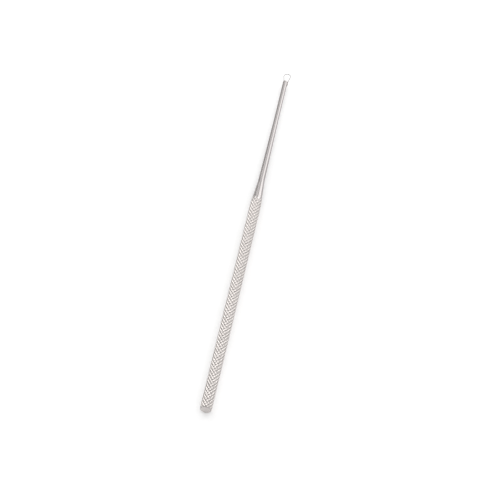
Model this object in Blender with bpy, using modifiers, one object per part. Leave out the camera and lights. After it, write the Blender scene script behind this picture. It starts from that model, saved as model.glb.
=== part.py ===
"""Ear wax removal loop: one knurled steel bar with a fine wire loop brazed into its slotted tip.

The tool lies along +Y on the plane z = 0, resting on its knurl, with the loop at +Y.
"""

import math

import bmesh
import bpy

MM = 0.001

# Bar, from the flat butt face to the flat tip face
BAR_LENGTH = 160.5 * MM
HANDLE_LENGTH = 95.0 * MM
HANDLE_DIAMETER = 4.5 * MM
BUTT_FACE_DIAMETER = 3.7 * MM
BUTT_CHAMFER_LENGTH = 0.28 * MM
NECK_LENGTH = 12.2 * MM
NECK_BLEND_RADIUS = 40.0 * MM
SHANK_DIAMETER = 2.66 * MM
TAPER_LENGTH = 32.0 * MM
TIP_DIAMETER = 1.97 * MM
TIP_CHAMFER = 0.07 * MM

# Diamond knurl: as many grooves wind to the left as to the right
KNURL_STARTS = 10
KNURL_PITCH = 1.63 * MM
KNURL_DEPTH = 0.3 * MM

# Wire loop: widths are taken between the wire's centre lines
WIRE_DIAMETER = 0.25 * MM
LOOP_REACH = 4.5 * MM
LOOP_WIDTH = 2.74 * MM
LOOP_OFFSET = 0.2 * MM
LEG_SPACING = 1.56 * MM
LEG_DEPTH = 2.2 * MM
LEG_BEND_RADIUS = 1.0 * MM

# Slot across the tip, and the braze that fills it round the legs
SLOT_WIDTH = 0.45 * MM
BRAZE_CLEARANCE = 0.02 * MM
SLOT_FLOOR_GAP = 0.15 * MM
BRAZE_PROUD = 0.05 * MM
BEAD_WALL = 0.06 * MM
BEAD_WIDTH = 0.7 * MM

# How finely round shapes are divided
TURNED_SEGMENTS = 60
BLEND_STEPS = 4
HEAD_STEPS = 26
BEND_STEPS = 3
CHANNEL_SEGMENTS = 16
BEAD_SEGMENTS = 20
WIRE_BEVEL_RESOLUTION = 2

# Margin by which a cutter runs past the metal that it cuts
CUT_MARGIN = 0.1 * MM

# Places that follow from the sizes
HANDLE_RADIUS = HANDLE_DIAMETER / 2
SHANK_RADIUS = SHANK_DIAMETER / 2
TIP_RADIUS = TIP_DIAMETER / 2
WIRE_RADIUS = WIRE_DIAMETER / 2
LOOP_RADIUS = LOOP_WIDTH / 2
NECK_SLOPE = (HANDLE_RADIUS - SHANK_RADIUS) / NECK_LENGTH
TAPER_SLOPE = (SHANK_RADIUS - TIP_RADIUS) / TAPER_LENGTH
BLANK_RADIUS = HANDLE_RADIUS + CUT_MARGIN
SLOT_DEPTH = LEG_DEPTH + SLOT_FLOOR_GAP
CHANNEL_RADIUS = WIRE_RADIUS + BRAZE_CLEARANCE
OVERALL_LENGTH = BAR_LENGTH + LOOP_REACH
KNURL_COLUMNS = 2 * KNURL_STARTS
AXIS_HEIGHT = HANDLE_RADIUS * math.cos(math.pi / KNURL_COLUMNS)


def clear_scene():
    """Remove every object that the file opened with."""
    for old in list(bpy.data.objects):
        bpy.data.objects.remove(old, do_unlink=True)


def make_collection(name):
    """Return a new collection linked to the scene."""
    collection = bpy.data.collections.new(name)
    bpy.context.scene.collection.children.link(collection)
    return collection


def make_material(name, color, roughness):
    """Return a metal with one colour and one roughness."""
    material = bpy.data.materials.new(name)
    material.use_nodes = True
    shader = material.node_tree.nodes["Principled BSDF"]
    shader.inputs["Base Color"].default_value = (*color, 1.0)
    shader.inputs["Roughness"].default_value = roughness
    shader.inputs["Metallic"].default_value = 1.0
    return material


def add_object(name, data, collection, axis, material=None):
    """Link an object modelled along the tool's axis, and give it its material."""
    obj = bpy.data.objects.new(name, data)
    collection.objects.link(obj)
    obj.parent = axis
    if material is not None:
        data.materials.append(material)
    return obj


def add_cutter(name, bm, collection, axis):
    """Turn a bmesh into a cutter that never shows."""
    bmesh.ops.recalc_face_normals(bm, faces=bm.faces)
    mesh = bpy.data.meshes.new(name)
    bm.to_mesh(mesh)
    bm.free()
    cutter = add_object(name, mesh, collection, axis)
    cutter.hide_render = True
    cutter.display_type = "WIRE"
    return cutter


def add_boolean(obj, cutter, operation):
    """Cut, join or trim an object with a cutter."""
    modifier = obj.modifiers.new(cutter.name, "BOOLEAN")
    modifier.operation = operation
    modifier.solver = "EXACT"
    modifier.object = cutter


def shade_by_angle(mesh, degrees):
    """Shade a mesh smooth, apart from the edges that turn more than the angle."""
    mesh.shade_smooth()
    mesh.set_sharp_from_angle(angle=math.radians(degrees))


def neck_blend():
    """Return the points of the arc that joins the neck's cone to the shank's taper."""
    start_angle = math.atan(NECK_SLOPE)
    end_angle = math.atan(TAPER_SLOPE)
    tangent = NECK_BLEND_RADIUS * math.tan((start_angle - end_angle) / 2)
    corner = HANDLE_LENGTH + NECK_LENGTH
    start_z = corner - tangent * math.cos(start_angle)
    start_r = SHANK_RADIUS + tangent * math.sin(start_angle)
    center_z = start_z + NECK_BLEND_RADIUS * math.sin(start_angle)
    center_r = start_r + NECK_BLEND_RADIUS * math.cos(start_angle)
    points = []
    for step in range(BLEND_STEPS + 1):
        angle = start_angle + (end_angle - start_angle) * step / BLEND_STEPS
        r = center_r - NECK_BLEND_RADIUS * math.cos(angle)
        z = center_z - NECK_BLEND_RADIUS * math.sin(angle)
        points.append((r, z))
    return points


def bar_profile():
    """Return the half outline of the bar, from the tip's centre down to the butt's."""
    blank_end = HANDLE_LENGTH - (BLANK_RADIUS - HANDLE_RADIUS) / NECK_SLOPE
    chamfer_rise = (BLANK_RADIUS - BUTT_FACE_DIAMETER / 2) / (HANDLE_RADIUS - BUTT_FACE_DIAMETER / 2)
    points = [
        (0.0, 0.0),
        (BUTT_FACE_DIAMETER / 2, 0.0),
        (BLANK_RADIUS, BUTT_CHAMFER_LENGTH * chamfer_rise),
        (BLANK_RADIUS, blank_end),
    ]
    points += neck_blend()
    points += [
        (TIP_RADIUS, HANDLE_LENGTH + NECK_LENGTH + TAPER_LENGTH),
        (TIP_RADIUS, BAR_LENGTH - TIP_CHAMFER),
        (TIP_RADIUS - TIP_CHAMFER, BAR_LENGTH),
        (0.0, BAR_LENGTH),
    ]
    return points[::-1]


def make_blank(collection, axis, material):
    """Turn the smooth bar from its profile."""
    bm = bmesh.new()
    verts = [bm.verts.new((r, 0.0, z)) for r, z in bar_profile()]
    for first, second in zip(verts, verts[1:]):
        bm.edges.new((first, second))
    mesh = bpy.data.meshes.new("handle_shank")
    bm.to_mesh(mesh)
    bm.free()
    bar = add_object("handle_shank", mesh, collection, axis, material)
    turn = bar.modifiers.new("turn", "SCREW")
    turn.steps = TURNED_SEGMENTS
    turn.render_steps = TURNED_SEGMENTS
    turn.use_merge_vertices = True
    turn.merge_threshold = 1e-6
    turn.use_smooth_shade = True
    return bar


def knurl_sleeve(collection, axis):
    """Make the sleeve of metal that knurling takes off, with a wall of diamonds inside.

    A grid is wrapped round the axis. Its vertices are by turns the crossing of two grooves and
    the peak of a diamond, and every cell is split along its groove.
    """
    ring_gap = KNURL_PITCH / 2
    run_out = (KNURL_DEPTH + CUT_MARGIN) / NECK_SLOPE
    rings = math.ceil((HANDLE_LENGTH + run_out) / ring_gap) + 3
    bottom = math.pi / 2
    bm = bmesh.new()
    bmesh.ops.create_grid(bm, x_segments=KNURL_COLUMNS, y_segments=rings, size=0.5)
    for vert in bm.verts:
        column = round((vert.co.x + 0.5) * KNURL_COLUMNS)
        ring = round((vert.co.y + 0.5) * rings)
        is_peak = (column + ring) % 2 == 1
        radius = HANDLE_RADIUS if is_peak else HANDLE_RADIUS - KNURL_DEPTH
        turn = bottom + (column + 0.5) * math.tau / KNURL_COLUMNS
        vert.co = (radius * math.cos(turn), radius * math.sin(turn), (ring - 1.5) * ring_gap)
        vert.index = int(is_peak)
    for face in list(bm.faces):
        crossings = [vert for vert in face.verts if vert.index == 0]
        bmesh.utils.face_split(face, crossings[0], crossings[1])
    bmesh.ops.remove_doubles(bm, verts=bm.verts, dist=1e-7)
    rims = [edge for edge in bm.edges if edge.is_boundary]
    flared = bmesh.ops.extrude_edge_only(bm, edges=rims)["geom"]
    for vert in flared:
        if isinstance(vert, bmesh.types.BMVert):
            reach = (BLANK_RADIUS + CUT_MARGIN) / math.hypot(vert.co.x, vert.co.y)
            reach /= math.cos(math.pi / KNURL_COLUMNS)
            vert.co.x *= reach
            vert.co.y *= reach
    outer = [edge for edge in flared if isinstance(edge, bmesh.types.BMEdge) and edge.is_boundary]
    bmesh.ops.bridge_loops(bm, edges=outer)
    return add_cutter("knurl_sleeve", bm, collection, axis)


def box_cutter(name, low, high, collection, axis):
    """Make a box cutter between two corners."""
    bm = bmesh.new()
    bmesh.ops.create_cube(bm, size=1.0)
    for vert in bm.verts:
        for k in range(3):
            vert.co[k] = low[k] + (vert.co[k] + 0.5) * (high[k] - low[k])
    return add_cutter(name, bm, collection, axis)


def rod(bm, radius, x, low, high, segments):
    """Add a round rod along the tool's axis to a bmesh."""
    made = bmesh.ops.create_cone(
        bm, cap_ends=True, segments=segments, radius1=radius, radius2=radius, depth=high - low
    )
    bmesh.ops.translate(bm, verts=made["verts"], vec=(x, 0.0, (low + high) / 2))


def leg_places():
    """Return the places of the wire's two legs across the tip."""
    return (LOOP_OFFSET - LEG_SPACING / 2, LOOP_OFFSET + LEG_SPACING / 2)


def make_bar(collection, cutters, axis, material):
    """Make the bar: turned, knurled, and slotted across its tip."""
    bar = make_blank(collection, axis, material)
    add_boolean(bar, knurl_sleeve(cutters, axis), "DIFFERENCE")
    low = (-HANDLE_RADIUS, -SLOT_WIDTH / 2, BAR_LENGTH - SLOT_DEPTH)
    high = (HANDLE_RADIUS, SLOT_WIDTH / 2, BAR_LENGTH + CUT_MARGIN)
    add_boolean(bar, box_cutter("tip_slot", low, high, cutters, axis), "DIFFERENCE")
    return bar


def loop_half():
    """Return one half of the loop: leg, outward bend, straight side and half of the round head.

    Points are (distance from the loop's middle, distance past the tip face).
    """
    leg = LEG_SPACING / 2
    head_z = LOOP_REACH - WIRE_RADIUS - LOOP_RADIUS
    bend_x = leg + LEG_BEND_RADIUS
    toward_head = math.atan2(head_z, -bend_x)
    inset = math.asin((LEG_BEND_RADIUS + LOOP_RADIUS) / math.hypot(head_z, bend_x))
    rise = toward_head - inset
    lean = math.pi / 2 - rise
    points = [(leg, -LEG_DEPTH), (leg, -LEG_DEPTH / 2)]
    for step in range(BEND_STEPS + 1):
        angle = math.pi - lean * step / BEND_STEPS
        x = bend_x + LEG_BEND_RADIUS * math.cos(angle)
        points.append((x, LEG_BEND_RADIUS * math.sin(angle)))
    for step in range(HEAD_STEPS // 2 + 1):
        angle = -lean + (math.pi / 2 + lean) * step / (HEAD_STEPS // 2)
        points.append((LOOP_RADIUS * math.cos(angle), head_z + LOOP_RADIUS * math.sin(angle)))
    return points


def make_loop(collection, axis, material):
    """Bend the wire from one leg round the head to the other leg."""
    right = loop_half()
    left = [(-x, z) for x, z in right]
    path = right + left[-2::-1]
    curve = bpy.data.curves.new("wire_loop", "CURVE")
    curve.dimensions = "3D"
    curve.bevel_depth = WIRE_RADIUS
    curve.bevel_resolution = WIRE_BEVEL_RESOLUTION
    curve.use_fill_caps = True
    spline = curve.splines.new("POLY")
    spline.points.add(len(path) - 1)
    for point, (x, z) in zip(spline.points, path):
        point.co = (x + LOOP_OFFSET, 0.0, z + BAR_LENGTH, 1.0)
    spline.use_smooth = True
    return add_object("wire_loop", curve, collection, axis, material)


def make_bead(cutters, axis):
    """Make the drop of braze over the leg that shows in the slot's mouth."""
    leg = leg_places()[1]
    height = leg - TIP_RADIUS + CHANNEL_RADIUS + BEAD_WALL
    half_length = (SLOT_DEPTH - BRAZE_CLEARANCE) / 2
    bm = bmesh.new()
    bmesh.ops.create_uvsphere(bm, u_segments=BEAD_SEGMENTS, v_segments=BEAD_SEGMENTS // 2, radius=1.0)
    bmesh.ops.scale(bm, verts=bm.verts, vec=(height, BEAD_WIDTH / 2, half_length))
    place = (TIP_RADIUS, 0.0, BAR_LENGTH - BRAZE_CLEARANCE - half_length)
    bmesh.ops.translate(bm, verts=bm.verts, vec=place)
    bead = add_cutter("braze_bead", bm, cutters, axis)
    bm = bmesh.new()
    low = BAR_LENGTH - SLOT_DEPTH - CUT_MARGIN
    high = BAR_LENGTH + CUT_MARGIN
    rod(bm, TIP_RADIUS + BRAZE_CLEARANCE, 0.0, low, high, TURNED_SEGMENTS)
    add_boolean(bead, add_cutter("tip_with_clearance", bm, cutters, axis), "DIFFERENCE")
    return bead


def make_braze(collection, cutters, axis, material):
    """Fill the slot round both legs, with a bead over the leg in its mouth."""
    half = SLOT_WIDTH / 2 - BRAZE_CLEARANCE
    low = BAR_LENGTH - SLOT_DEPTH + BRAZE_CLEARANCE
    high = BAR_LENGTH - BRAZE_CLEARANCE
    bm = bmesh.new()
    rod(bm, TIP_RADIUS + BRAZE_PROUD, 0.0, low, high, TURNED_SEGMENTS)
    mesh = bpy.data.meshes.new("braze_fill")
    bm.to_mesh(mesh)
    bm.free()
    braze = add_object("braze_fill", mesh, collection, axis, material)
    shade_by_angle(mesh, 40)
    walls = box_cutter(
        "slot_walls", (-HANDLE_RADIUS, -half, low - CUT_MARGIN), (HANDLE_RADIUS, half, high + CUT_MARGIN),
        cutters, axis,
    )
    add_boolean(braze, walls, "INTERSECT")
    add_boolean(braze, make_bead(cutters, axis), "UNION")
    bm = bmesh.new()
    for x in leg_places():
        floor = BAR_LENGTH - LEG_DEPTH - BRAZE_CLEARANCE
        rod(bm, CHANNEL_RADIUS, x, floor, BAR_LENGTH + CUT_MARGIN, CHANNEL_SEGMENTS)
    add_boolean(braze, add_cutter("leg_channels", bm, cutters, axis), "DIFFERENCE")
    return braze


def main():
    """Build the tool."""
    clear_scene()
    tool = make_collection("ear_wax_loop")
    cutters = make_collection("cutters")
    cutters.hide_render = True
    axis = bpy.data.objects.new("tool_axis", None)
    axis.location = (0.0, -OVERALL_LENGTH / 2, AXIS_HEIGHT)
    axis.rotation_euler = (-math.pi / 2, 0.0, 0.0)
    tool.objects.link(axis)
    steel = make_material("satin_steel", (0.56, 0.53, 0.53), 0.32)
    wire = make_material("bright_wire", (0.66, 0.65, 0.65), 0.22)
    silver = make_material("silver_braze", (0.68, 0.65, 0.6), 0.35)
    make_bar(tool, cutters, axis, steel)
    make_loop(tool, axis, wire)
    make_braze(tool, cutters, axis, silver)
    bpy.context.view_layer.update()


main()
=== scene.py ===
"""Looks of the ear wax removal loop: a knurled steel bar, a fine wire loop and the braze that holds it.

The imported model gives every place. Each piece is modelled along the tool's own axis (x to the
side, y along the tool from its butt face, z up) and is then laid in the model's frame.
"""

import logging
import math
from dataclasses import dataclass
from enum import Enum
from typing import Any, Dict, List, Sequence, Tuple, Union

import bmesh
import bpy
from mathutils import Matrix, Vector


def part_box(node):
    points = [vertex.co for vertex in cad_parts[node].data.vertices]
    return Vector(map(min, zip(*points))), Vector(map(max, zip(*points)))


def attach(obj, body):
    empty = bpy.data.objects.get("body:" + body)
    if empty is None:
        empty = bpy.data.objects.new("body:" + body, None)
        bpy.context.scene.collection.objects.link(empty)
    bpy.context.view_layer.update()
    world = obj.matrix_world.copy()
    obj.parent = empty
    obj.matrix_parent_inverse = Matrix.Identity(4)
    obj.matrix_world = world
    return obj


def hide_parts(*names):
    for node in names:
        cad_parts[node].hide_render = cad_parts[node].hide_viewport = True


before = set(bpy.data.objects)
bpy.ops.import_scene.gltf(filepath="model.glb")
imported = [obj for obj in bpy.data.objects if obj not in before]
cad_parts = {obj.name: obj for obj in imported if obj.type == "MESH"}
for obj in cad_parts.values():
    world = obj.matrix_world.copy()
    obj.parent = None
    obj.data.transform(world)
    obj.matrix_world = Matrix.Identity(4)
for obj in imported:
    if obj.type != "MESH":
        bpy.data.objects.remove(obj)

MM = 0.001
WELD = 0.001 * MM
SHARP_ANGLE = math.radians(50)
NOISE_MEAN = 0.5
BODY = "root"
LOG = logging.getLogger("ear_wax_loop")

Color = Tuple[float, float, float]
Point = Tuple[float, float, float]
Number = Union[float, "Value"]


class Slot(Enum):
    """Names of the materials."""

    STEEL = "satin_steel"
    WIRE = "bright_wire"
    BRAZE = "silver_braze"


def soft_min(first: float, second: float, blend: float) -> float:
    """Return the smaller of two numbers, with the corner between them rounded.

    Args:
        first: One number.
        second: The other number.
        blend: Width over which one turns into the other.

    Returns:
        The rounded minimum.
    """
    gap = first - second
    return (first + second - math.sqrt(gap * gap + blend * blend)) / 2


class Value:
    """A shader socket that takes part in arithmetic, where each operation adds a Math node."""

    def __init__(self, pad: "NodePad", socket: bpy.types.NodeSocket) -> None:
        """Keep the socket and the node pad that it belongs to."""
        self.pad = pad
        self.socket = socket

    def math(self, operation: str, *operands: Number) -> "Value":
        """Return the result of a Math node.

        Args:
            operation: The Math node's operation.
            operands: Its inputs, in order.

        Returns:
            The node's value.
        """
        return self.pad.node("ShaderNodeMath", {"operation": operation}, dict(enumerate(operands)))

    def __add__(self, other: Number) -> "Value":
        """Return self + other."""
        return self.math("ADD", self, other)

    def __radd__(self, other: Number) -> "Value":
        """Return other + self."""
        return self.math("ADD", other, self)

    def __sub__(self, other: Number) -> "Value":
        """Return self - other."""
        return self.math("SUBTRACT", self, other)

    def __rsub__(self, other: Number) -> "Value":
        """Return other - self."""
        return self.math("SUBTRACT", other, self)

    def __mul__(self, other: Number) -> "Value":
        """Return self * other."""
        return self.math("MULTIPLY", self, other)

    def __rmul__(self, other: Number) -> "Value":
        """Return other * self."""
        return self.math("MULTIPLY", other, self)

    def at_most(self, limit: Number) -> "Value":
        """Return the smaller of this value and a limit."""
        return self.math("MINIMUM", self, limit)


class NodePad:
    """A material's or a world's node tree, emptied and ready to be filled."""

    def __init__(self, tree: bpy.types.NodeTree) -> None:
        """Empty the tree."""
        self.tree = tree
        tree.nodes.clear()

    def node(
        self, kind: str, settings: Dict[str, Any], inputs: Dict[Any, Any], output: Union[int, str] = 0
    ) -> Value:
        """Add a node.

        Args:
            kind: The node's type.
            settings: Its properties. The stops of a colour ramp are (position, colour) pairs.
            inputs: Values or links by socket name or number.
            output: Name or number of the output that is returned.

        Returns:
            The output as a value.
        """
        made = self.tree.nodes.new(kind)
        for name, setting in settings.items():
            if name == "stops":
                for place, _ in setting[2:]:
                    made.color_ramp.elements.new(place)
                for element, (place, color) in zip(made.color_ramp.elements, setting):
                    element.position = place
                    element.color = (*color, 1.0)
            else:
                setattr(made, name, setting)
        for name, value in inputs.items():
            if isinstance(value, Value):
                self.tree.links.new(value.socket, made.inputs[name])
            else:
                made.inputs[name].default_value = value
        return Value(self, made.outputs[output])

    def end(self, kind: str, surface: Value) -> None:
        """Link the finished shader to the tree's output node.

        Args:
            kind: The output node's type.
            surface: The shader.
        """
        made = self.tree.nodes.new(kind)
        self.tree.links.new(surface.socket, made.inputs["Surface"])

    def mix(self, factor: Number, first: Any, second: Any) -> Value:
        """Return a colour between two colours, which are sockets 6 and 7 of a Mix node.

        Args:
            factor: 0 gives the first colour and 1 the second.
            first: A colour, or a colour's link.
            second: A colour, or a colour's link.

        Returns:
            The mixed colour.
        """
        inputs = {
            "Factor": factor,
            6: first if isinstance(first, Value) else (*first, 1.0),
            7: second if isinstance(second, Value) else (*second, 1.0),
        }
        return self.node("ShaderNodeMix", {"data_type": "RGBA"}, inputs, output=2)

    def object_mm(self, stretch: Point = (1.0, 1.0, 1.0)) -> Value:
        """Return Object coordinates in millimetres, stretched along each axis."""
        place = self.node("ShaderNodeTexCoord", {}, {}, output="Object")
        scale = tuple(part / MM for part in stretch)
        return self.node("ShaderNodeMapping", {}, {"Vector": place, "Scale": scale})

    def noise(self, place: Value, scale: float, detail: float, roughness: float = 0.5) -> Value:
        """Return a noise from 0 to 1.

        Args:
            place: Coordinates that it reads.
            scale: Features for each unit of the coordinates.
            detail: Number of finer layers.
            roughness: Weight of the finer layers.

        Returns:
            The noise.
        """
        inputs = {"Vector": place, "Scale": scale, "Detail": detail, "Roughness": roughness}
        return self.node("ShaderNodeTexNoise", {}, inputs, output=0)


@dataclass(frozen=True)
class Metal:
    """What the three metals share: a colour, its drift, and a fine grain in gloss and relief."""

    color: Color
    shade: Color
    roughness: float
    roughness_drift: float
    grain_stretch: Point
    grain_depth: float
    mottle_contrast: float = 0.5
    cleanest: float = 0.6

    def surface(self, pad: NodePad, tone: Number, roughness: Number, grain: Value) -> None:
        """Fill the tree with the metal's shader.

        Args:
            pad: The material's nodes.
            tone: 0 gives the shaded colour and 1 the clean one.
            roughness: The surface's roughness.
            grain: Height of the fine grain, from 0 to 1.
        """
        bump = pad.node(
            "ShaderNodeBump", {}, {"Strength": 1.0, "Distance": self.grain_depth, "Height": grain}
        )
        inputs = {
            "Base Color": pad.mix(tone, *self.colors(pad)),
            "Metallic": 1.0,
            "Roughness": roughness,
            "Normal": bump,
        }
        pad.end("ShaderNodeOutputMaterial", pad.node("ShaderNodeBsdfPrincipled", {}, inputs))

    def material(self, name: str) -> bpy.types.Material:
        """Return the finished material.

        Args:
            name: The material's name.

        Returns:
            A new material.
        """
        material = bpy.data.materials.new(name)
        material.use_nodes = True
        pad = NodePad(material.node_tree)
        mottle = pad.noise(pad.object_mm(), scale=0.6, detail=3.0)
        grain = pad.noise(pad.object_mm(self.grain_stretch), scale=1.0, detail=2.0, roughness=0.6)
        drift = (mottle + grain - 2 * NOISE_MEAN) * self.roughness_drift
        self.surface(pad, self.tone(pad, mottle), drift + self.base_roughness(pad), grain)
        return material

    def colors(self, pad: NodePad) -> Tuple[Any, Any]:
        """Return the shaded and the clean colour."""
        return self.shade, self.color

    def tone(self, pad: NodePad, mottle: Value) -> Value:
        """Return how clean the metal is at each place, from 0 to 1."""
        return mottle * self.mottle_contrast + self.cleanest

    def base_roughness(self, pad: NodePad) -> Number:
        """Return the roughness before its drift."""
        return self.roughness


@dataclass(frozen=True)
class SatinSteel(Metal):
    """Turned bar: a polished shank, and a satin grip.

    The grip's flanks that face the tip get a painted highlight, and the ones that face the butt get a
    painted shade and are also rougher.
    """

    # The grip's lit and shaded colours: a painted highlight on flanks that face the tip and a painted shade
    # on those that face the butt.
    grip_lit_color: Color = (0.98, 0.925, 0.895)
    grip_shaded_color: Color = (0.5, 0.469, 0.451)
    grip_roughness: float = 0.29
    dullness: float = 0.05
    butt_satin_and_sheen: float = 0.5
    flank_mottle: float = 0.4
    painted_light_layer: str = "burnish"
    grip_layer: str = "grip"

    def layer(self, pad: NodePad, name: str) -> Value:
        """Return the value that one of the bar's vertex layers holds."""
        return pad.node("ShaderNodeAttribute", {"attribute_name": name}, {}, output="Fac")

    def colors(self, pad: NodePad) -> Tuple[Any, Any]:
        """Return the dark and the light colour, each from the plain metal to the grip, where the grip's are
        a painted shade and a painted highlight.
        """
        grip = self.layer(pad, self.grip_layer)
        return pad.mix(grip, self.shade, self.grip_shaded_color), pad.mix(grip, self.color, self.grip_lit_color)

    def tone(self, pad: NodePad, mottle: Value) -> Value:
        """Return how bright the steel is: painted highlight on flanks that face the tip, painted shade on
        those that face the butt, with a random drift.
        """
        drift = (mottle - NOISE_MEAN) * self.flank_mottle
        return (self.layer(pad, self.painted_light_layer) + drift).at_most(1.0)

    def base_roughness(self, pad: NodePad) -> Number:
        """Return the roughness: the grip is satin, and its flanks that face the butt are rougher."""
        satin = self.layer(pad, self.grip_layer) * (self.grip_roughness - self.roughness)
        return satin + (1.0 - self.layer(pad, self.painted_light_layer)) * self.dullness + self.roughness


STEEL = SatinSteel(
    color=(0.469, 0.441, 0.436),
    shade=(0.393, 0.369, 0.365),
    roughness=0.11,
    roughness_drift=0.03,
    grain_stretch=(1.2, 14.0, 1.2),
    grain_depth=0.0012 * MM,
)
WIRE = Metal(
    color=(0.38, 0.37, 0.365),
    shade=(0.3, 0.29, 0.285),
    roughness=0.38,
    roughness_drift=0.06,
    grain_stretch=(9.0, 2.0, 9.0),
    grain_depth=0.0008 * MM,
)
BRAZE = Metal(
    color=(0.47, 0.44, 0.41),
    shade=(0.36, 0.335, 0.31),
    roughness=0.22,
    roughness_drift=0.1,
    grain_stretch=(5.0, 5.0, 5.0),
    grain_depth=0.003 * MM,
)


@dataclass(frozen=True)
class ToolAxis:
    """The tool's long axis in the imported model, from the middle of its butt face."""

    butt_y: float
    height: float
    bar_length: float
    crest_radius: float

    @classmethod
    def from_frame(cls) -> "ToolAxis":
        """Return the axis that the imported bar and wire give."""
        bar_low, bar_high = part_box("handle_shank")
        wire_low, wire_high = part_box("wire_loop")
        length = bar_high.y - bar_low.y
        return cls(bar_low.y, (wire_low.z + wire_high.z) / 2, length, (bar_high.z - bar_low.z) / 2)

    def finish_piece(
        self, name: str, bm: bmesh.types.BMesh, material: bpy.types.Material, slot: Slot, node: str
    ) -> bpy.types.Object:
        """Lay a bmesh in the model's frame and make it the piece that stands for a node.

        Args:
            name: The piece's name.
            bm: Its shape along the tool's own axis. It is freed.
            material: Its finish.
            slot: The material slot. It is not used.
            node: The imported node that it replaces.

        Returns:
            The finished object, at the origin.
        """
        bmesh.ops.translate(bm, verts=bm.verts, vec=(0.0, self.butt_y, self.height))
        mesh = bpy.data.meshes.new(name)
        bm.to_mesh(mesh)
        bm.free()
        mesh.shade_smooth()
        mesh.set_sharp_from_angle(angle=SHARP_ANGLE)
        mesh.materials.append(material)
        piece = bpy.data.objects.new(name, mesh)
        bpy.context.scene.collection.objects.link(piece)
        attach(piece, BODY)
        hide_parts(node)
        LOG.info("%s: %d faces", name, len(mesh.polygons))
        return piece


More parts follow.
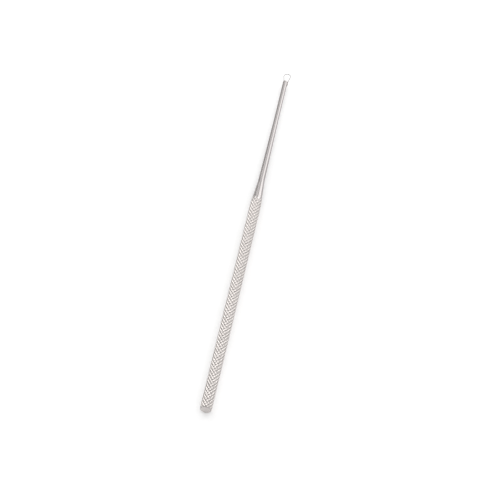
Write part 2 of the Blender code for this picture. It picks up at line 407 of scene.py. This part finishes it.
@dataclass
class KnurledBar:
    """The steel bar: diamond knurled handle, flared neck, tapered shank and slotted tip."""

    axis: ToolAxis
    handle_length: float = 95.0 * MM
    butt_face_radius: float = 1.85 * MM
    butt_chamfer: float = 0.28 * MM
    face_margin: float = 0.04 * MM
    neck_length: float = 12.2 * MM
    neck_blend_radius: float = 40.0 * MM
    shank_radius: float = 1.33 * MM
    taper_length: float = 32.0 * MM
    tip_radius: float = 0.985 * MM
    tip_chamfer: float = 0.07 * MM
    starts: int = 10
    pitch: float = 1.6291 * MM
    first_column: float = 1.224
    twist: float = math.radians(0.2) / MM
    depth: float = 0.25 * MM
    slot_width: float = 0.45 * MM
    slot_depth: float = 2.35 * MM
    seam_step: float = 0.01 * MM
    cell_divisions: int = 6
    blend_steps: int = 10
    groove_round: float = 0.03
    crest_round: float = 0.15
    crest_level: float = 0.65
    flank_edge: float = 0.06
    edge_round: float = 0.02 * MM

    def neck_slope(self) -> float:
        """Return how steeply the neck narrows."""
        return (self.axis.crest_radius - self.shank_radius) / self.neck_length

    def taper_slope(self) -> float:
        """Return how steeply the shank narrows."""
        return (self.shank_radius - self.tip_radius) / self.taper_length

    def columns(self) -> int:
        """Return the number of columns of crossings and peaks round the handle."""
        return 2 * self.starts

    def ring_gap(self) -> float:
        """Return the distance between rings of crossings and peaks."""
        return self.pitch / 2

    def knurl_height(self, column: float, ring: float) -> float:
        """Return the height on the knurl's pattern.

        Args:
            column: Place round the handle, where whole numbers are columns of crossings and peaks.
            ring: Place along the handle, where whole numbers are rings of crossings and peaks.

        Returns:
            The height, lowest where two grooves cross and highest in the middle of a crest.
        """
        heights = []
        for lead in ((column + ring) / 2, (column - ring) / 2):
            from_groove = 2 * abs(lead - round(lead))
            heights.append(math.hypot(from_groove, self.groove_round) - self.groove_round)
        rise = soft_min(heights[0], heights[1], self.crest_round)
        return soft_min(rise, self.crest_level, self.crest_round)

    def painted_flank_light(self, column: float, ring: float) -> float:
        """Return the painted light: 1 (painted highlight) on a flank that faces the tip, 0 (painted shade)
        on one that faces the butt, and 0.5 on a crest.

        Args:
            column: Place round the handle, as for the height.
            ring: Place along the handle, as for the height.

        Returns:
            How far the wheel has burnished the place.
        """
        step = self.flank_edge
        rise = self.knurl_height(column, ring + step) - self.knurl_height(column, ring - step)
        return 0.5 - rise / (4 * step)

    def knurled_radius(self, place: float, height: float) -> float:
        """Return the radius on the knurl, which runs out on the butt's chamfer and on the neck.

        Args:
            place: Distance from the butt face.
            height: Height on the knurl's pattern.

        Returns:
            The radius.
        """
        face = self.butt_face_radius
        chamfer = face + (self.axis.crest_radius - face) * place / self.butt_chamfer
        neck = self.axis.crest_radius - (place - self.handle_length) * self.neck_slope()
        knurl = self.axis.crest_radius - self.depth * (1.0 - height)
        return soft_min(soft_min(knurl, chamfer, self.edge_round), neck, self.edge_round)

    def plain_profile(self, start: float) -> List[Tuple[float, float]]:
        """Return the (place, radius) points of the plain metal past the knurl.

        Args:
            start: Where the knurled grid ends.

        Returns:
            The outline from there to the tip face.
        """
        cone = math.atan(self.neck_slope())
        taper = math.atan(self.taper_slope())
        tangent = self.neck_blend_radius * math.tan((cone - taper) / 2)
        corner = self.handle_length + self.neck_length
        arc_y = corner - tangent * math.cos(cone) + self.neck_blend_radius * math.sin(cone)
        arc_r = self.shank_radius + tangent * math.sin(cone) + self.neck_blend_radius * math.cos(cone)
        points = []
        for step in range(self.blend_steps + 1):
            angle = cone + (taper - cone) * step / self.blend_steps
            y = arc_y - self.neck_blend_radius * math.sin(angle)
            points.append((y, arc_r - self.neck_blend_radius * math.cos(angle)))
        end = self.axis.bar_length
        points.append((corner + self.taper_length, self.tip_radius))
        points.append((end - self.slot_depth, self.tip_radius))
        points.append((end - 2 * self.tip_chamfer, self.tip_radius))
        points.append((end - self.tip_chamfer, self.tip_radius))
        points.append((end, self.tip_radius - self.tip_chamfer))
        return [point for point in points if point[0] > start]

    def build(self) -> bmesh.types.BMesh:
        """Return the bar's closed shape, with its painted light and shade and its grip on its vertices."""
        bm = bmesh.new()
        run_out = self.depth / self.neck_slope()
        rings = math.ceil((self.handle_length + run_out) / self.ring_gap())
        bmesh.ops.create_grid(
            bm, x_segments=self.columns() * self.cell_divisions,
            y_segments=rings * self.cell_divisions, size=0.5,
        )
        bmesh.ops.translate(bm, verts=bm.verts, vec=(0.5, 0.5, 0.0))
        bmesh.ops.scale(bm, verts=bm.verts, vec=(self.columns(), rings, 1.0))
        self.split_along_grooves(bm)
        self.wrap(bm)
        bmesh.ops.remove_doubles(bm, verts=bm.verts, dist=WELD)
        self.close_ends(bm, rings * self.ring_gap())
        self.cut_slot(bm)
        bmesh.ops.recalc_face_normals(bm, faces=bm.faces)
        return bm

    def split_along_grooves(self, bm: bmesh.types.BMesh) -> None:
        """Split each quad of the flat knurl along the direction of its groove.

        Args:
            bm: The flat grid, with x in columns and y in rings.
        """
        for face in list(bm.faces):
            middle = face.calc_center_median()
            rising = (math.floor(middle.x) + math.floor(middle.y)) % 2 == 0
            slope = 1.0 if rising else -1.0
            ends = sorted(face.verts, key=lambda vert: vert.co.x + slope * vert.co.y)
            bmesh.utils.face_split(face, ends[0], ends[-1])

    def wrap(self, bm: bmesh.types.BMesh) -> None:
        """Wrap the flat knurl round the tool's axis and press its grooves in.

        Args:
            bm: The flat grid, with x in columns and y in rings.
        """
        burnish = bm.verts.layers.float.new(STEEL.painted_light_layer)
        grip = bm.verts.layers.float.new(STEEL.grip_layer)
        low = self.knurl_height(0.0, 0.0)
        rise = self.knurl_height(1.0, 0.0) - low
        for vert in bm.verts:
            column, ring, _ = vert.co
            place = ring * self.ring_gap()
            height = (self.knurl_height(column, ring) - low) / rise
            radius = self.knurled_radius(place, height)
            pressed = self.axis.crest_radius - self.depth * (1.0 - height)
            plain = radius < pressed - self.edge_round
            # Flanks that face the tip get painted highlight (1), flanks that face the butt painted shade
            # (0); plain metal gets 1.
            vert[burnish] = 1.0 if plain else self.painted_flank_light(column, ring)
            vert[grip] = 0.0 if plain else 1.0
            turn = (column - self.first_column) * math.tau / self.columns() + place * self.twist
            vert.co = (radius * math.cos(turn), place, radius * math.sin(turn))

    def close_ends(self, bm: bmesh.types.BMesh, knurl_end: float) -> None:
        """Close the butt face, and carry the bar on from the knurl's end to the tip face.

        Args:
            bm: The knurled tube.
            knurl_end: Where the tube ends.
        """
        rims = [edge for edge in bm.edges if edge.is_boundary]
        butt = [edge for edge in rims if edge.verts[0].co.y < knurl_end / 2]
        ring = [edge for edge in rims if edge.verts[0].co.y > knurl_end / 2]
        butt_face = bmesh.ops.contextual_create(bm, geom=butt)["faces"][0]
        bmesh.ops.inset_individual(bm, faces=[butt_face], thickness=self.face_margin)
        for place, radius in self.plain_profile(knurl_end + self.seam_step):
            made = bmesh.ops.extrude_edge_only(bm, edges=ring)["geom"]
            for vert in made:
                if isinstance(vert, bmesh.types.BMVert):
                    scale = radius / math.hypot(vert.co.x, vert.co.z)
                    vert.co = (vert.co.x * scale, place, vert.co.z * scale)
            ring = [edge for edge in made if isinstance(edge, bmesh.types.BMEdge)]
        bmesh.ops.contextual_create(bm, geom=ring)
        burnish = bm.verts.layers.float[STEEL.painted_light_layer]
        grip = bm.verts.layers.float[STEEL.grip_layer]
        for vert in bm.verts:
            # Past the knurl the painted light is 1, the plain steel's clean colour, and there is no grip.
            if vert.co.y > knurl_end:
                vert[burnish] = 1.0
                vert[grip] = 0.0
        # The butt face gets half of the grip's satin roughness and half of its lit colour, a painted sheen
        # that makes the face lighter.
        for vert in butt_face.verts:
            vert[grip] = STEEL.butt_satin_and_sheen

    def cut_slot(self, bm: bmesh.types.BMesh) -> None:
        """Saw the slot across the tip.

        Args:
            bm: The whole bar.
        """
        floor = self.axis.bar_length - self.slot_depth
        half = self.slot_width / 2
        for side in (-half, half):
            tip = [face for face in bm.faces if face.calc_center_median().y > floor]
            edges = {edge for face in tip for edge in face.edges}
            verts = {vert for face in tip for vert in face.verts}
            bmesh.ops.bisect_plane(
                bm, geom=[*tip, *edges, *verts], plane_co=(0.0, 0.0, side), plane_no=(0.0, 0.0, 1.0),
                dist=WELD / 2,
            )
        sawn = [
            face for face in bm.faces
            if face.calc_center_median().y > floor and abs(face.calc_center_median().z) < half
        ]
        bmesh.ops.delete(bm, geom=sawn, context="FACES")
        for side in (-half, half):
            wall = [
                edge for edge in bm.edges
                if edge.is_boundary and all(abs(vert.co.z - side) < WELD for vert in edge.verts)
            ]
            bmesh.ops.contextual_create(bm, geom=wall)
        rest = [edge for edge in bm.edges if edge.is_boundary]
        bmesh.ops.contextual_create(bm, geom=rest)

    def dress(self) -> bpy.types.Object:
        """Return the finished bar in satin steel."""
        material = STEEL.material(Slot.STEEL.value)
        return self.axis.finish_piece("knurled_bar", self.build(), material, Slot.STEEL, "handle_shank")


@dataclass
class WireLoop:
    """One length of wire: two legs in the slot, outward bends, straight sides and a round head."""

    axis: ToolAxis
    wire_radius: float = 0.125 * MM
    loop_radius: float = 1.37 * MM
    reach: float = 4.5 * MM
    offset: float = 0.2 * MM
    leg_spacing: float = 1.56 * MM
    leg_depth: float = 2.2 * MM
    bend_radius: float = 1.0 * MM
    wire_segments: int = 20
    bend_steps: int = 14
    head_steps: int = 96

    def lean(self) -> float:
        """Return the angle by which a side leans outward."""
        bend_x = self.leg_spacing / 2 + self.bend_radius
        head = self.head_height()
        inset = math.asin((self.bend_radius + self.loop_radius) / math.hypot(head, bend_x))
        return math.pi / 2 - (math.atan2(head, -bend_x) - inset)

    def head_height(self) -> float:
        """Return how far the head's centre lies past the tip face."""
        return self.reach - self.wire_radius - self.loop_radius

    def legs(self) -> Tuple[float, float]:
        """Return how far each leg lies to the side of the tool's axis."""
        return self.offset - self.leg_spacing / 2, self.offset + self.leg_spacing / 2

    def build(self) -> bmesh.types.BMesh:
        """Return the bent wire as one closed shape."""
        bm = bmesh.new()
        lean = self.lean()
        tip = self.axis.bar_length
        leg_x = self.leg_spacing / 2
        bend_x = leg_x + self.bend_radius
        head = self.head_height()
        radii = self.bend_radius + self.loop_radius
        side = math.sqrt(math.hypot(head, bend_x) ** 2 - radii ** 2)
        made = bmesh.ops.create_circle(
            bm, cap_ends=True, cap_tris=False, segments=self.wire_segments, radius=self.wire_radius
        )
        turn = Matrix.Translation((leg_x, tip - self.leg_depth, 0.0)) @ Matrix.Rotation(math.pi / 2, 4, "X")
        bmesh.ops.transform(bm, matrix=turn, verts=made["verts"])
        ring = list(bm.edges)
        ring = self.straight(bm, ring, Vector((0.0, self.leg_depth, 0.0)))
        ring = self.bend(bm, ring, (bend_x, tip, 0.0), -lean, self.bend_steps)
        ring = self.straight(bm, ring, Vector((math.sin(lean), math.cos(lean), 0.0)) * side)
        ring = self.bend(bm, ring, (0.0, tip + head, 0.0), math.pi + 2 * lean, self.head_steps)
        ring = self.straight(bm, ring, Vector((math.sin(lean), -math.cos(lean), 0.0)) * side)
        ring = self.bend(bm, ring, (-bend_x, tip, 0.0), -lean, self.bend_steps)
        ring = self.straight(bm, ring, Vector((0.0, -self.leg_depth, 0.0)))
        bmesh.ops.contextual_create(bm, geom=ring)
        bmesh.ops.remove_doubles(bm, verts=bm.verts, dist=WELD / 2)
        bmesh.ops.recalc_face_normals(bm, faces=bm.faces)
        bmesh.ops.translate(bm, verts=bm.verts, vec=(self.offset, 0.0, 0.0))
        return bm

    def straight(
        self, bm: bmesh.types.BMesh, ring: List[bmesh.types.BMEdge], move: Vector
    ) -> List[bmesh.types.BMEdge]:
        """Draw the wire's end ring along a straight line.

        Args:
            bm: The wire so far.
            ring: Edges of its end ring.
            move: Direction and length of the line.

        Returns:
            The edges of the new end ring.
        """
        made = bmesh.ops.extrude_edge_only(bm, edges=ring)["geom"]
        verts = [item for item in made if isinstance(item, bmesh.types.BMVert)]
        bmesh.ops.translate(bm, verts=verts, vec=move)
        return [item for item in made if isinstance(item, bmesh.types.BMEdge)]

    def bend(
        self, bm: bmesh.types.BMesh, ring: List[bmesh.types.BMEdge], center: Point, angle: float, steps: int
    ) -> List[bmesh.types.BMEdge]:
        """Draw the wire's end ring round a bend in the loop's plane.

        Args:
            bm: The wire so far.
            ring: Edges of its end ring.
            center: Centre of the bend.
            angle: Angle of the bend, anticlockwise seen from above.
            steps: Number of steps along it.

        Returns:
            The edges of the new end ring.
        """
        made = bmesh.ops.spin(
            bm, geom=ring, cent=center, axis=(0.0, 0.0, 1.0), dvec=(0.0, 0.0, 0.0),
            angle=angle, steps=steps, use_merge=False, use_duplicate=False,
        )["geom_last"]
        return [item for item in made if isinstance(item, bmesh.types.BMEdge)]

    def dress(self) -> bpy.types.Object:
        """Return the finished loop in bright wire."""
        material = WIRE.material(Slot.WIRE.value)
        return self.axis.finish_piece("bent_wire_loop", self.build(), material, Slot.WIRE, "wire_loop")


@dataclass
class BrazeFill:
    """Silver braze that has run into the slot, up the legs, and over the leg in the slot's mouth.

    It is melted together in millimetres, because a remesh works on no finer a grid in metres.
    """

    bar: KnurledBar
    loop: WireLoop
    wall_gap: float = 0.012
    floor_gap: float = 0.02
    proud: float = 0.03
    bead_size: Point = (0.2, 1.16, 0.34)
    skirt_radius: float = 0.27
    skirt_height: float = 0.2
    fill_segments: int = 72
    round_segments: int = 32
    bead_rings: int = 20
    cut_tolerance: float = 0.0001
    voxel: float = 0.032
    smoothing: int = 8

    def build(self) -> bmesh.types.BMesh:
        """Return the melted shape, in metres along the tool's axis."""
        bm = bmesh.new()
        tip_radius = self.bar.tip_radius / MM
        depth = self.bar.slot_depth / MM - self.floor_gap
        half = self.bar.slot_width / MM / 2 - self.wall_gap
        bmesh.ops.create_cone(
            bm, cap_ends=True, segments=self.fill_segments, radius1=tip_radius + self.proud,
            radius2=tip_radius + self.proud, depth=depth,
        )
        for side in (-1.0, 1.0):
            cut = bmesh.ops.bisect_plane(
                bm, geom=[*bm.verts, *bm.edges, *bm.faces], plane_co=(0.0, side * half, 0.0),
                plane_no=(0.0, side, 0.0), clear_outer=True, dist=self.cut_tolerance,
            )
            bmesh.ops.contextual_create(
                bm, geom=[item for item in cut["geom_cut"] if isinstance(item, bmesh.types.BMEdge)]
            )
        bmesh.ops.translate(bm, verts=bm.verts, vec=(0.0, 0.0, -depth / 2))
        made = bmesh.ops.create_uvsphere(
            bm, u_segments=self.round_segments, v_segments=self.bead_rings, radius=1.0
        )["verts"]
        across, along, over = self.bead_size
        bmesh.ops.scale(bm, verts=made, vec=(across, over, along))
        bmesh.ops.translate(bm, verts=made, vec=(tip_radius, 0.0, -depth / 2))
        for leg in self.loop.legs():
            made = bmesh.ops.create_cone(
                bm, cap_ends=True, segments=self.round_segments, radius1=self.skirt_radius,
                radius2=self.loop.wire_radius / MM, depth=2 * self.skirt_height,
            )["verts"]
            bmesh.ops.translate(bm, verts=made, vec=(leg / MM, 0.0, 0.0))
        bmesh.ops.recalc_face_normals(bm, faces=bm.faces)
        return self.melt(bm)

    def melt(self, bm: bmesh.types.BMesh) -> bmesh.types.BMesh:
        """Run the shapes together and smooth them, then turn them to the tool's axis.

        Args:
            bm: Overlapping closed shapes in millimetres. It is freed.

        Returns:
            One closed shape in metres.
        """
        mesh = bpy.data.meshes.new("braze_shapes")
        bm.to_mesh(mesh)
        bm.free()
        lump = bpy.data.objects.new("braze_shapes", mesh)
        bpy.context.scene.collection.objects.link(lump)
        remesh = lump.modifiers.new("run together", "REMESH")
        remesh.mode = "VOXEL"
        remesh.voxel_size = self.voxel
        smooth = lump.modifiers.new("surface tension", "SMOOTH")
        smooth.iterations = self.smoothing
        evaluated = lump.evaluated_get(bpy.context.evaluated_depsgraph_get())
        melted = bmesh.new()
        melted.from_mesh(evaluated.to_mesh())
        evaluated.to_mesh_clear()
        bpy.data.objects.remove(lump, do_unlink=True)
        bpy.data.meshes.remove(mesh)
        lay = Matrix.Translation((0.0, self.bar.axis.bar_length, 0.0))
        lay = lay @ Matrix.Scale(MM, 4) @ Matrix.Rotation(-math.pi / 2, 4, "X")
        bmesh.ops.transform(melted, matrix=lay, verts=melted.verts)
        return melted

    def dress(self) -> bpy.types.Object:
        """Return the finished braze in silver."""
        material = BRAZE.material(Slot.BRAZE.value)
        axis = self.bar.axis
        return axis.finish_piece("braze_drop", self.build(), material, Slot.BRAZE, "braze_fill")


@dataclass(frozen=True)
class Panel:
    """A soft oval lamp that faces the tool, placed by its direction from it."""

    name: str
    azimuth: float
    elevation: float
    distance: float
    width: float
    height: float
    brightness: float

    def matrix(self) -> Matrix:
        """Return the panel's place, with its front (-z) toward the tool."""
        turn = math.radians(self.azimuth)
        rise = math.radians(self.elevation)
        flat = math.cos(rise)
        away = Vector((math.sin(turn) * flat, math.cos(turn) * flat, math.sin(rise)))
        return Matrix.Translation(away * self.distance) @ away.to_track_quat("Z", "Y").to_matrix().to_4x4()


@dataclass
class Studio:
    """A plain pale floor, plain soft light, and a camera where the photograph was taken from."""

    floor_radius: float = 4.0
    floor_segments: int = 64
    floor_color: Color = (0.95, 0.95, 0.95)
    floor_lift: float = 0.29
    mirrored_lift: float = 0.18
    far_lift: float = 0.3
    world_strength: float = 0.38
    # Each lamp has a name, azimuth, elevation, distance, width, height and brightness.
    lamps: Tuple[Panel, ...] = (
        Panel("back_lamp", 339.0, 13.0, 1.2, 0.89, 0.76, 1.57),
        Panel("right_lamp", 34.0, 26.0, 1.2, 0.75, 1.24, 1.5),
        Panel("top_lamp", 329.0, 63.0, 1.2, 1.2, 1.7, 0.72),
        Panel("right_top_lamp", 92.0, 63.0, 1.2, 0.4, 1.3, 1.06),
        Panel("left_lamp", 307.0, 31.0, 1.2, 0.36, 0.5, 2.27),
        Panel("front_lamp", 140.0, 28.0, 1.2, 1.2, 0.7, 0.7),
    )
    camera_azimuth: float = -10.918
    camera_elevation: float = 52.972
    camera_distance: float = 723.4 * MM
    camera_target: Point = (1.68 * MM, -9.105 * MM, 2.222 * MM)
    lens: float = 136.8
    sensor_width: float = 36.0
    nearest: float = 0.01
    farthest: float = 50.0

    def build(self) -> None:
        """Make the floor, the world, the lamps and the camera."""
        self.make_floor()
        self.make_world()
        for panel in self.lamps:
            self.make_lamp(panel)
        self.make_camera()

    def path(self, pad: NodePad, ray: str) -> Value:
        """Return 1 for rays of one kind, and otherwise 0."""
        return pad.node("ShaderNodeLightPath", {}, {}, output=ray)

    def fade(self, pad: NodePad) -> Value:
        """Return how far from the tool the floor is: 0 under it, and 1 from a metre away."""
        place = pad.node("ShaderNodeTexCoord", {}, {}, output="Object")
        away = pad.node("ShaderNodeVectorMath", {"operation": "LENGTH"}, {0: place}, output="Value")
        return away.at_most(1.0)

    def make_floor(self) -> None:
        """Lay the floor: a white sheet that keeps the tool's shadow, and stays white far away."""
        bm = bmesh.new()
        bmesh.ops.create_circle(bm, cap_ends=True, segments=self.floor_segments, radius=self.floor_radius)
        mesh = bpy.data.meshes.new("floor")
        bm.to_mesh(mesh)
        bm.free()
        material = bpy.data.materials.new("white_floor")
        material.use_nodes = True
        pad = NodePad(material.node_tree)
        paper = pad.node("ShaderNodeBsdfDiffuse", {}, {"Color": (*self.floor_color, 1.0)})
        shown = self.path(pad, "Is Camera Ray") * (self.fade(pad) * self.far_lift + self.floor_lift)
        seen_in_tool = self.path(pad, "Is Glossy Ray") + self.path(pad, "Is Transmission Ray")
        mirrored = seen_in_tool * self.mirrored_lift
        lift = pad.node("ShaderNodeEmission", {}, {"Strength": shown + mirrored})
        both = pad.node("ShaderNodeAddShader", {}, {0: paper, 1: lift})
        pad.end("ShaderNodeOutputMaterial", both)
        mesh.materials.append(material)
        floor = bpy.data.objects.new("floor", mesh)
        bpy.context.scene.collection.objects.link(floor)

    def make_world(self) -> None:
        """Surround the tool with even white light."""
        world = bpy.data.worlds.new("studio")
        bpy.context.scene.world = world
        world.use_nodes = True
        pad = NodePad(world.node_tree)
        inputs = {"Color": (1.0, 1.0, 1.0, 1.0), "Strength": self.world_strength}
        pad.end("ShaderNodeOutputWorld", pad.node("ShaderNodeBackground", {}, inputs))

    def make_lamp(self, panel: Panel) -> None:
        """Hang a soft lamp.

        Args:
            panel: Its place, size and brightness.
        """
        lamp = bpy.data.lights.new(panel.name, "AREA")
        lamp.shape = "ELLIPSE"
        lamp.size = panel.width
        lamp.size_y = panel.height
        lamp.energy = panel.brightness * math.pi * math.pi * panel.width * panel.height / 4
        holder = bpy.data.objects.new(panel.name, lamp)
        holder.matrix_world = panel.matrix()
        holder.visible_camera = False
        bpy.context.scene.collection.objects.link(holder)

    def make_camera(self) -> None:
        """Set the camera at the photograph's viewing angle and distance."""
        camera = bpy.data.cameras.new("camera")
        camera.lens = self.lens
        camera.sensor_width = self.sensor_width
        camera.clip_start = self.nearest
        camera.clip_end = self.farthest
        turn = math.radians(self.camera_azimuth)
        down = math.radians(self.camera_elevation)
        flat = math.cos(down)
        forward = Vector((math.sin(turn) * flat, math.cos(turn) * flat, -math.sin(down)))
        holder = bpy.data.objects.new("camera", camera)
        holder.location = Vector(self.camera_target) - forward * self.camera_distance
        holder.rotation_euler = forward.to_track_quat("-Z", "Y").to_euler()
        bpy.context.scene.collection.objects.link(holder)
        bpy.context.scene.camera = holder


def main() -> None:
    """Build and dress each piece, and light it."""
    logging.basicConfig(level=logging.INFO, format="%(message)s")
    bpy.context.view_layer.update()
    axis = ToolAxis.from_frame()
    bar = KnurledBar(axis)
    bar.dress()
    loop = WireLoop(axis)
    loop.dress()
    BrazeFill(bar, loop).dress()
    Studio().build()
    bpy.context.scene.view_settings.view_transform = "Standard"
    bpy.context.view_layer.update()


if __name__ == "__main__":
    main()
